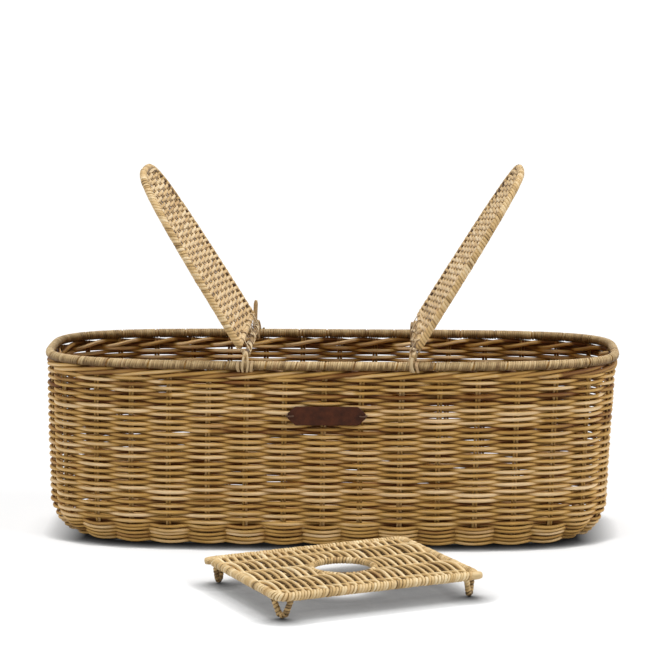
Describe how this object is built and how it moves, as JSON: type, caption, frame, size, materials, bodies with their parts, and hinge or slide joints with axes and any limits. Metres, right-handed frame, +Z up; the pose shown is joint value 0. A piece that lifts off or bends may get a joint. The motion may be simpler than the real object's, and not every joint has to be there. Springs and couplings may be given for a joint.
{
  "type": "toilet paper basket",
  "caption": "Long oval woven rattan basket for storing toilet rolls, with hinged D-shaped lids at both ends and a loose woven centre panel with a round opening and short legs.",
  "frame": {"origin": "on the floor under the middle of the basket, in the plane of the base's underside", "axes": "+X along the basket to the right lid, +Y from the front wall with the patch to the back wall, +Z up"},
  "size_m": [0.6146, 0.5291, 0.3916],
  "materials": {
    "wall_cane": "matt natural rattan core, brown tan",
    "rim_cane": "satin rattan peel, grey tan",
    "tie_peel": "satin rattan peel, tan",
    "lid_cane": "matt natural rattan, pale cream tan",
    "panel_cane": "matt natural rattan, pale golden",
    "patch_leather": "smooth dark brown leather",
    "patch_stitch": "thin brown lace"
  },
  "bodies": {
    "basket": {"base_mat": "wall_cane", "foot_wale": "wall_cane", "side_wall": "wall_cane", "top_wale": "wall_cane", "rim_hoop": "rim_cane", "rim_binding_front": "rim_cane", "rim_binding_back": "rim_cane", "rim_binding_left": "rim_cane", "rim_binding_right": "rim_cane", "hinge_tie_front_left": "tie_peel", "hinge_tie_back_left": "tie_peel", "hinge_tie_front_right": "tie_peel", "hinge_tie_back_right": "tie_peel", "label_patch": "patch_leather", "label_tie_left": "patch_stitch", "label_tie_right": "patch_stitch"},
    "lid_left": {"left_lid_bow": "lid_cane", "left_lid_binding": "lid_cane", "left_lid_bar": "lid_cane", "left_lid_weave": "lid_cane"},
    "lid_right": {"right_lid_bow": "lid_cane", "right_lid_binding": "lid_cane", "right_lid_bar": "lid_cane", "right_lid_weave": "lid_cane"},
    "centre_panel": {"panel_frame": "panel_cane", "panel_binding_long_front": "panel_cane", "panel_binding_long_back": "panel_cane", "panel_binding_short_left": "panel_cane", "panel_binding_short_right": "panel_cane", "panel_weave": "panel_cane", "panel_hole_ring": "panel_cane", "panel_leg_1": "panel_cane", "panel_leg_2": "panel_cane", "panel_leg_3": "panel_cane", "panel_leg_4": "panel_cane"}
  },
  "joints": [
    {"name": "lid_left_hinge", "type": "hinge", "parent": "basket", "child": "lid_left", "pos_m": [-0.087, 0, 0.2033], "axis": [0, 1, 0], "range_deg": [-58.3, 45]},
    {"name": "lid_right_hinge", "type": "hinge", "parent": "basket", "child": "lid_right", "pos_m": [0.087, 0, 0.2033], "axis": [0, -1, 0], "range_deg": [-58.3, 45]},
    {"name": "panel_lift", "type": "slide", "parent": "basket", "child": "centre_panel", "axis": [0, 0, 1], "range_m": [0, 0.21]}
  ]
}
